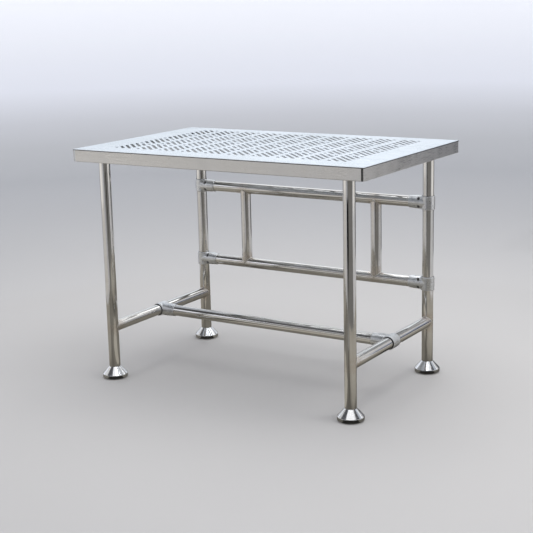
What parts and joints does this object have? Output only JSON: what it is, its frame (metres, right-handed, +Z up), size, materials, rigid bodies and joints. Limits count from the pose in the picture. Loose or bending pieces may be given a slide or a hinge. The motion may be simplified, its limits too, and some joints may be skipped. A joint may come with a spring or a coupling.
{
  "type": "stainless steel work table",
  "caption": "Work table with a perforated stainless sheet top, folded apron, round tube legs, a clamped rear frame, a low H-shaped stretcher and bell-shaped levelling feet.",
  "frame": {"origin": "on the floor under the middle of the worktop", "axes": "+X along the long side, +Y from the open front towards the rear frame, +Z up"},
  "size_m": [1.208, 0.755, 0.884],
  "materials": {
    "worktop_sheet": "satin sheet, fine grain along the length",
    "folded_sheet": "satin folded sheet",
    "polished_tube": "polished tube",
    "bright_foot": "mirror polished",
    "turned_steel": "turned",
    "foot_rubber": "matte black",
    "clamp_casting": "matte cast",
    "screw_steel": "dark socket head screws"
  },
  "bodies": {
    "frame": {"top_panel": "worktop_sheet", "apron_front": "folded_sheet", "apron_back": "folded_sheet", "apron_left": "folded_sheet", "apron_right": "folded_sheet", "stiffener_front": "folded_sheet", "stiffener_middle": "folded_sheet", "stiffener_rear": "folded_sheet", "leg_socket_fl": "folded_sheet", "leg_socket_fr": "folded_sheet", "leg_socket_rl": "folded_sheet", "leg_socket_rr": "folded_sheet", "leg_fl": "polished_tube", "leg_fr": "polished_tube", "leg_rl": "polished_tube", "leg_rr": "polished_tube", "rear_rail_upper": "polished_tube", "rear_rail_lower": "polished_tube", "rear_post_left": "polished_tube", "rear_post_right": "polished_tube", "side_stretcher_left": "polished_tube", "side_stretcher_right": "polished_tube", "centre_stretcher": "polished_tube", "leg_plug_fl": "turned_steel", "leg_plug_fr": "turned_steel", "leg_plug_rl": "turned_steel", "leg_plug_rr": "turned_steel", "clamp_rl_upper_front": "clamp_casting", "clamp_rl_upper_back": "clamp_casting", "clamp_rl_lower_front": "clamp_casting", "clamp_rl_lower_back": "clamp_casting", "clamp_rr_upper_front": "clamp_casting", "clamp_rr_upper_back": "clamp_casting", "clamp_rr_lower_front": "clamp_casting", "clamp_rr_lower_back": "clamp_casting", "clamp_low_left_bottom": "clamp_casting", "clamp_low_left_top": "clamp_casting", "clamp_low_right_bottom": "clamp_casting", "clamp_low_right_top": "clamp_casting", "clamp_bolts": "screw_steel", "leg_grub_screws": "screw_steel"},
    "foot_fl": {"foot_bell_fl": "bright_foot", "foot_stud_fl": "turned_steel", "foot_pad_fl": "foot_rubber"},
    "foot_fr": {"foot_bell_fr": "bright_foot", "foot_stud_fr": "turned_steel", "foot_pad_fr": "foot_rubber"},
    "foot_rl": {"foot_bell_rl": "bright_foot", "foot_stud_rl": "turned_steel", "foot_pad_rl": "foot_rubber"},
    "foot_rr": {"foot_bell_rr": "bright_foot", "foot_stud_rr": "turned_steel", "foot_pad_rr": "foot_rubber"}
  },
  "joints": [
    {"name": "level_fl", "type": "slide", "parent": "frame", "child": "foot_fl", "axis": [0, 0, -1], "range_m": [0, 0.02]},
    {"name": "level_fr", "type": "slide", "parent": "frame", "child": "foot_fr", "axis": [0, 0, -1], "range_m": [0, 0.02]},
    {"name": "level_rl", "type": "slide", "parent": "frame", "child": "foot_rl", "axis": [0, 0, -1], "range_m": [0, 0.02]},
    {"name": "level_rr", "type": "slide", "parent": "frame", "child": "foot_rr", "axis": [0, 0, -1], "range_m": [0, 0.02]}
  ]
}
